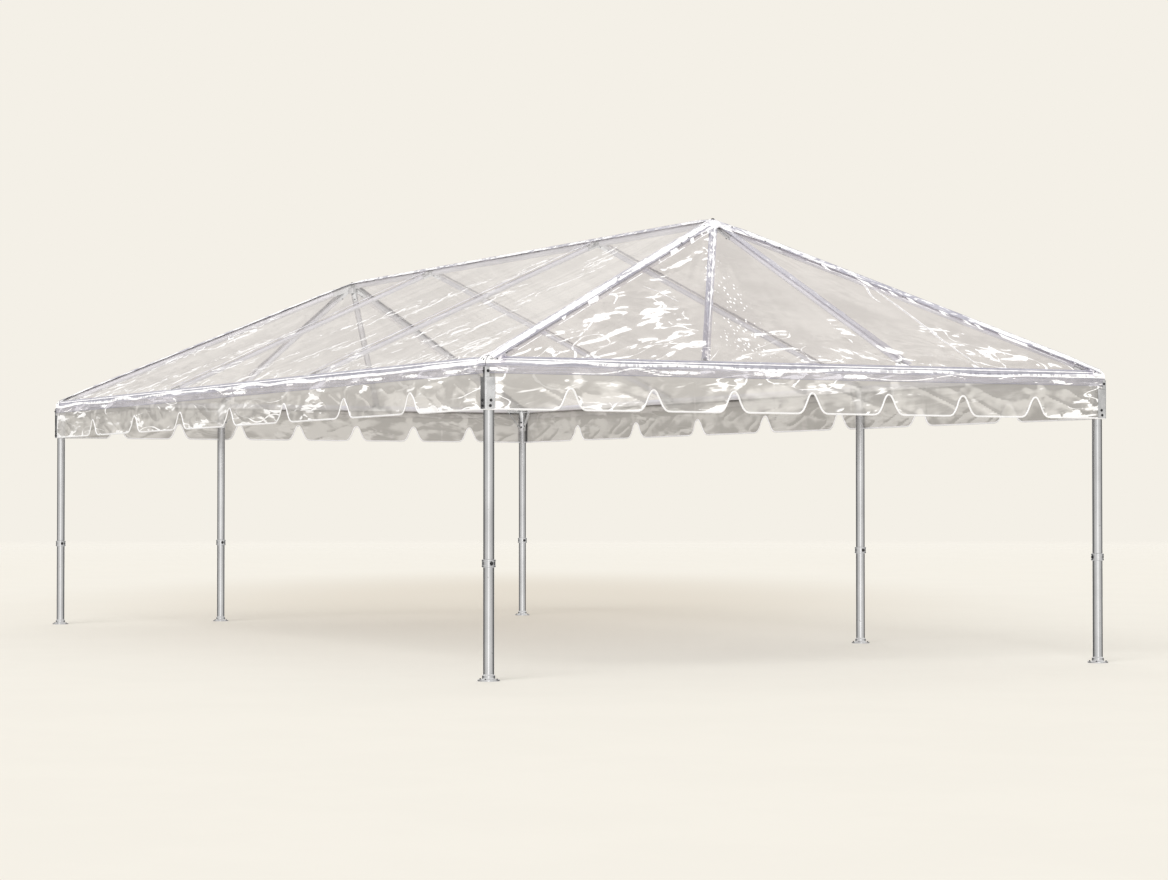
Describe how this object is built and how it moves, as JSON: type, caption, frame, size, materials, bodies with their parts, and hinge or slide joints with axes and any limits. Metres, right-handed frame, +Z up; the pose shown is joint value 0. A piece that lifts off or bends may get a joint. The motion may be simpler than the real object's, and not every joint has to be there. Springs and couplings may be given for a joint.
{
  "type": "clear-top frame marquee",
  "caption": "Open-sided frame marquee: a hip roof of clear film with scalloped valances, stretched over round tubes on tall legs with disc feet.",
  "frame": {"origin": "centre of the footprint at ground level", "axes": "+Z up, +X along the ridge towards the near end, +Y towards the back long side that has the intermediate leg"},
  "size_m": [12.26, 6.164, 3.9899],
  "materials": {
    "frame_tube": "satin drawn tube with faint lengthwise streaks",
    "cast_fitting": "satin, slightly dull",
    "clear_film": "clear glossy vinyl film with wrinkles and a white bound hem"
  },
  "bodies": {
    "root": {"leg_near_front_lower": "frame_tube", "leg_near_front_upper": "frame_tube", "leg_near_back_lower": "frame_tube", "leg_near_back_upper": "frame_tube", "leg_far_front_lower": "frame_tube", "leg_far_front_upper": "frame_tube", "leg_far_back_lower": "frame_tube", "leg_far_back_upper": "frame_tube", "leg_back_lower": "frame_tube", "leg_back_upper": "frame_tube", "leg_far_end_lower": "frame_tube", "leg_far_end_upper": "frame_tube", "corner_fitting_near_front": "cast_fitting", "corner_fitting_near_back": "cast_fitting", "corner_fitting_far_front": "cast_fitting", "corner_fitting_far_back": "cast_fitting", "eave_rail_front": "frame_tube", "eave_rail_back": "frame_tube", "eave_rail_near_end": "frame_tube", "eave_rail_far_end": "frame_tube", "hip_rafter_near_front": "frame_tube", "hip_rafter_near_back": "frame_tube", "hip_rafter_far_front": "frame_tube", "hip_rafter_far_back": "frame_tube", "end_rafter_near_front": "frame_tube", "end_rafter_near_back": "frame_tube", "end_rafter_far_front": "frame_tube", "end_rafter_far_back": "frame_tube", "side_rafter_near_front": "frame_tube", "side_rafter_near_back": "frame_tube", "side_rafter_far_front": "frame_tube", "side_rafter_far_back": "frame_tube", "ridge_tube_near": "frame_tube", "ridge_tube_middle": "frame_tube", "ridge_tube_far": "frame_tube", "crown_near": "cast_fitting", "crown_far": "cast_fitting", "roof_panel_front": "clear_film", "roof_panel_back": "clear_film", "roof_panel_near_end": "clear_film", "roof_panel_far_end": "clear_film", "valance_front": "clear_film", "valance_back": "clear_film", "valance_near_end": "clear_film", "valance_far_end": "clear_film"}
  },
  "joints": []
}
